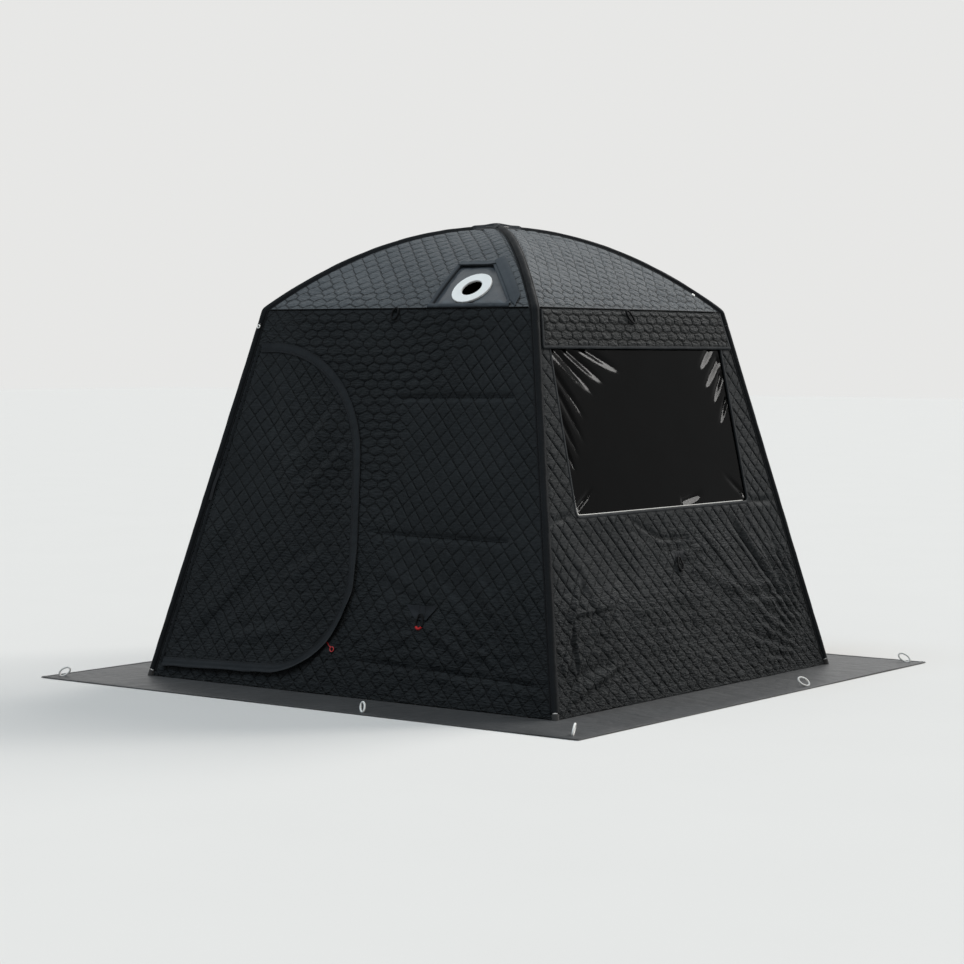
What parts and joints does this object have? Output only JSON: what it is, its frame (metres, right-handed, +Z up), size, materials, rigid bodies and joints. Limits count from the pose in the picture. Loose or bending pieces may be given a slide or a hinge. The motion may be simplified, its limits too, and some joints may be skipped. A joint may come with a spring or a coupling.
{
  "type": "sauna tent",
  "caption": "Quilted square sauna tent on a quick-up hub frame, with a zipped door, a valanced window, ground skirts and a heat-proof flue port in the roof.",
  "frame": {"origin": "on the ground below the hub, at the middle of the square footprint", "axes": "+Z up, the door's wall faces -Y and the window's wall faces +X"},
  "size_m": [2.7, 2.7, 1.9],
  "materials": {
    "quilted_fabric": "quilted satin weave",
    "plain_fabric": "plain weave",
    "webbing": "woven webbing",
    "heat_cloth": "heat-proof weave",
    "silicone": "moulded silicone",
    "clear_vinyl": "glossy soft vinyl over a dark interior",
    "red_pull": "moulded",
    "moulded_plastic": "moulded",
    "alloy": "anodised",
    "steel": "plated wire",
    "rubber": "moulded"
  },
  "bodies": {
    "canopy": {"front_wall": "quilted_fabric", "front_gore": "quilted_fabric", "front_skirt": "plain_fabric", "right_wall": "quilted_fabric", "right_gore": "quilted_fabric", "right_skirt": "plain_fabric", "back_wall": "quilted_fabric", "back_gore": "quilted_fabric", "back_skirt": "plain_fabric", "left_wall": "quilted_fabric", "left_gore": "quilted_fabric", "left_skirt": "plain_fabric", "flue_panel": "heat_cloth", "flue_ring": "silicone", "flue_flap": "plain_fabric", "apex_cap": "plain_fabric", "door_zip": "moulded_plastic", "window_pane": "clear_vinyl", "front_pull_loop": "webbing", "right_pull_loop": "webbing", "tie_strap": "webbing"},
    "hub": {"hub_body": "moulded_plastic", "hub_ring": "steel", "hub_plate": "moulded_plastic"},
    "rib_front_right": {"rib_front_right": "alloy", "upper_elbow_front_right": "moulded_plastic", "elbow_pin_front_right": "steel", "ridge_sleeve_front_right": "plain_fabric"},
    "leg_front_right": {"leg_front_right": "alloy", "lower_elbow_front_right": "moulded_plastic", "foot_front_right": "rubber", "corner_sleeve_front_right": "plain_fabric"},
    "rib_back_right": {"rib_back_right": "alloy", "upper_elbow_back_right": "moulded_plastic", "elbow_pin_back_right": "steel", "ridge_sleeve_back_right": "plain_fabric"},
    "leg_back_right": {"leg_back_right": "alloy", "lower_elbow_back_right": "moulded_plastic", "foot_back_right": "rubber", "corner_sleeve_back_right": "plain_fabric"},
    "rib_back_left": {"rib_back_left": "alloy", "upper_elbow_back_left": "moulded_plastic", "elbow_pin_back_left": "steel", "ridge_sleeve_back_left": "plain_fabric"},
    "leg_back_left": {"leg_back_left": "alloy", "lower_elbow_back_left": "moulded_plastic", "foot_back_left": "rubber", "corner_sleeve_back_left": "plain_fabric"},
    "rib_front_left": {"rib_front_left": "alloy", "upper_elbow_front_left": "moulded_plastic", "elbow_pin_front_left": "steel", "ridge_sleeve_front_left": "plain_fabric"},
    "leg_front_left": {"leg_front_left": "alloy", "lower_elbow_front_left": "moulded_plastic", "foot_front_left": "rubber", "corner_sleeve_front_left": "plain_fabric"},
    "door": {"door_leaf": "quilted_fabric", "door_storm_flap": "plain_fabric"},
    "zip": {"zip_slider": "red_pull"},
    "valance": {"window_valance": "quilted_fabric"}
  },
  "joints": [
    {"name": "hub_drop", "type": "slide", "parent": "canopy", "child": "hub", "axis": [0, 0, -1], "range_m": [0, 1.238], "deforming": ["front_wall", "front_gore", "front_skirt", "right_wall", "right_gore", "right_skirt", "back_wall", "back_gore", "back_skirt", "left_wall", "left_gore", "left_skirt", "flue_panel", "flue_flap", "apex_cap", "door_zip", "window_pane", "front_pull_loop", "right_pull_loop", "tie_strap"]},
    {"name": "rib_fold_front_right", "type": "hinge", "parent": "hub", "child": "rib_front_right", "pos_m": [0.0297, -0.0297, 1.87036], "axis": [-0.7071, -0.7071, 0], "range_deg": [-0.1, 97.6]},
    {"name": "leg_fold_front_right", "type": "hinge", "parent": "rib_front_right", "child": "leg_front_right", "pos_m": [0.68095, -0.68095, 1.51631], "axis": [-0.7071, -0.7071, 0], "range_deg": [-122.55, 0.1]},
    {"name": "rib_fold_back_right", "type": "hinge", "parent": "hub", "child": "rib_back_right", "pos_m": [0.0297, 0.0297, 1.87036], "axis": [0.7071, -0.7071, 0], "range_deg": [-0.1, 97.6]},
    {"name": "leg_fold_back_right", "type": "hinge", "parent": "rib_back_right", "child": "leg_back_right", "pos_m": [0.68095, 0.68095, 1.51631], "axis": [0.7071, -0.7071, 0], "range_deg": [-122.55, 0.1]},
    {"name": "rib_fold_back_left", "type": "hinge", "parent": "hub", "child": "rib_back_left", "pos_m": [-0.0297, 0.0297, 1.87036], "axis": [0.7071, 0.7071, 0], "range_deg": [-0.1, 97.6]},
    {"name": "leg_fold_back_left", "type": "hinge", "parent": "rib_back_left", "child": "leg_back_left", "pos_m": [-0.68095, 0.68095, 1.51631], "axis": [0.7071, 0.7071, 0], "range_deg": [-122.55, 0.1]},
    {"name": "rib_fold_front_left", "type": "hinge", "parent": "hub", "child": "rib_front_left", "pos_m": [-0.0297, -0.0297, 1.87036], "axis": [-0.7071, 0.7071, 0], "range_deg": [-0.1, 97.6]},
    {"name": "leg_fold_front_left", "type": "hinge", "parent": "rib_front_left", "child": "leg_front_left", "pos_m": [-0.68095, -0.68095, 1.51631], "axis": [-0.7071, 0.7071, 0], "range_deg": [-122.55, 0.1]},
    {"name": "door_swing", "type": "hinge", "parent": "canopy", "child": "door", "pos_m": [-0.97029, -1.01828, 0.06365], "axis": [0.2126, 0.2126, 0.9537], "range_deg": [-110, 0]},
    {"name": "zip_travel", "type": "hinge", "parent": "canopy", "child": "zip", "pos_m": [-0.4088, -0.93002, 0.45952], "axis": [0, -0.976, 0.2176], "range_deg": [-45, 45]},
    {"name": "valance_lift", "type": "hinge", "parent": "canopy", "child": "valance", "pos_m": [0.69587, 0, 1.5203], "axis": [0, 1, 0], "range_deg": [-100, 0]}
  ],
  "couplings": [
    {"joint": "rib_fold_front_right", "follows": "hub_drop", "rad_per_m": 1.3746},
    {"joint": "leg_fold_front_right", "follows": "hub_drop", "rad_per_m": -1.7263},
    {"joint": "rib_fold_back_right", "follows": "hub_drop", "rad_per_m": 1.3746},
    {"joint": "leg_fold_back_right", "follows": "hub_drop", "rad_per_m": -1.7263},
    {"joint": "rib_fold_back_left", "follows": "hub_drop", "rad_per_m": 1.3746},
    {"joint": "leg_fold_back_left", "follows": "hub_drop", "rad_per_m": -1.7263},
    {"joint": "rib_fold_front_left", "follows": "hub_drop", "rad_per_m": 1.3746},
    {"joint": "leg_fold_front_left", "follows": "hub_drop", "rad_per_m": -1.7263}
  ]
}
